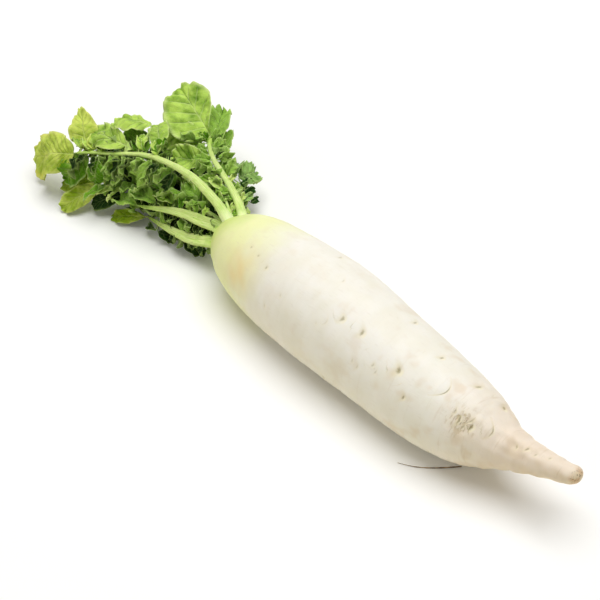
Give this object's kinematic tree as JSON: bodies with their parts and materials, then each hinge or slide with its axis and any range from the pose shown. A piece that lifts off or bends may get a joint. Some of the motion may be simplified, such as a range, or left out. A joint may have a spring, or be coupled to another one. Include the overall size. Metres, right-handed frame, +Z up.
{
  "type": "daikon radish",
  "caption": "Long white radish root, pale green at the crown, tapering to a thin cut tail, lying on its side with its bunch of lobed leaves; food to slice, grate or cook.",
  "frame": {"origin": "on the surface the radish lies on, in the flat of the belly under the thickest part of the root", "axes": "+X along the root to the cut tail, so the leaves point to -X; +Z up from the surface"},
  "size_m": [0.5076, 0.131, 0.0731],
  "materials": {
    "root_skin": "satin",
    "stalk": "satin",
    "leaf_yellow_green": "satin",
    "leaf_fresh_green": "satin",
    "leaf_deep_green": "satin",
    "leaf_blue_green": "satin",
    "leaf_young": "satin",
    "rootlet": "matte"
  },
  "bodies": {
    "root": {"leaf_1_end_blade": "leaf_yellow_green", "leaf_1_far_blade": "leaf_fresh_green", "leaf_1_hanging_blade_1": "leaf_fresh_green", "leaf_1_hanging_blade_2": "leaf_deep_green", "leaf_1_hanging_blade_3": "leaf_deep_green", "leaf_1_level_blade": "leaf_fresh_green", "leaf_1_near_blade": "leaf_fresh_green", "leaf_1_shaded_blade": "leaf_deep_green", "leaf_1_stalk": "stalk", "leaf_1_upright_blade": "leaf_yellow_green", "leaf_1_veined_blade": "leaf_fresh_green", "leaf_2_end_blade": "leaf_fresh_green", "leaf_2_left_blade_1": "leaf_fresh_green", "leaf_2_left_blade_2": "leaf_fresh_green", "leaf_2_low_blade": "leaf_fresh_green", "leaf_2_right_blade_1": "leaf_deep_green", "leaf_2_right_blade_2": "leaf_deep_green", "leaf_2_right_blade_3": "leaf_deep_green", "leaf_2_stalk": "stalk", "leaf_3_far_blade_1": "leaf_deep_green", "leaf_3_far_blade_2": "leaf_fresh_green", "leaf_3_near_blade_1": "leaf_deep_green", "leaf_3_near_blade_2": "leaf_deep_green", "leaf_3_stalk": "stalk", "leaf_3_tip_blade": "leaf_deep_green", "leaf_4_near_blade_1": "leaf_deep_green", "leaf_4_near_blade_2": "leaf_deep_green", "leaf_4_near_blade_3": "leaf_deep_green", "leaf_4_stalk": "stalk", "leaf_4_tip_blade": "leaf_yellow_green", "leaf_5_end_blade": "leaf_blue_green", "leaf_5_left_blade_1": "leaf_blue_green", "leaf_5_right_blade_1": "leaf_blue_green", "leaf_5_right_blade_2": "leaf_blue_green", "leaf_5_stalk": "stalk", "leaf_6_end_blade": "leaf_yellow_green", "leaf_6_far_blade_1": "leaf_yellow_green", "leaf_6_far_blade_2": "leaf_fresh_green", "leaf_6_far_blade_3": "leaf_deep_green", "leaf_6_far_blade_4": "leaf_deep_green", "leaf_6_far_blade_5": "leaf_deep_green", "leaf_6_near_blade_1": "leaf_deep_green", "leaf_6_near_blade_2": "leaf_deep_green", "leaf_6_near_blade_3": "leaf_fresh_green", "leaf_6_near_blade_4": "leaf_fresh_green", "leaf_6_stalk": "stalk", "leaf_7_end_blade": "leaf_young", "leaf_7_left_blade": "leaf_young", "leaf_7_right_blade": "leaf_young", "leaf_7_stalk": "stalk", "leaf_8_end_blade": "leaf_deep_green", "leaf_8_far_blade_1": "leaf_deep_green", "leaf_8_far_blade_2": "leaf_deep_green", "leaf_8_far_blade_3": "leaf_deep_green", "leaf_8_near_blade_1": "leaf_deep_green", "leaf_8_near_blade_2": "leaf_deep_green", "leaf_8_near_blade_3": "leaf_deep_green", "leaf_8_stalk": "stalk", "root": "root_skin", "rootlet_1": "rootlet"}
  },
  "joints": []
}
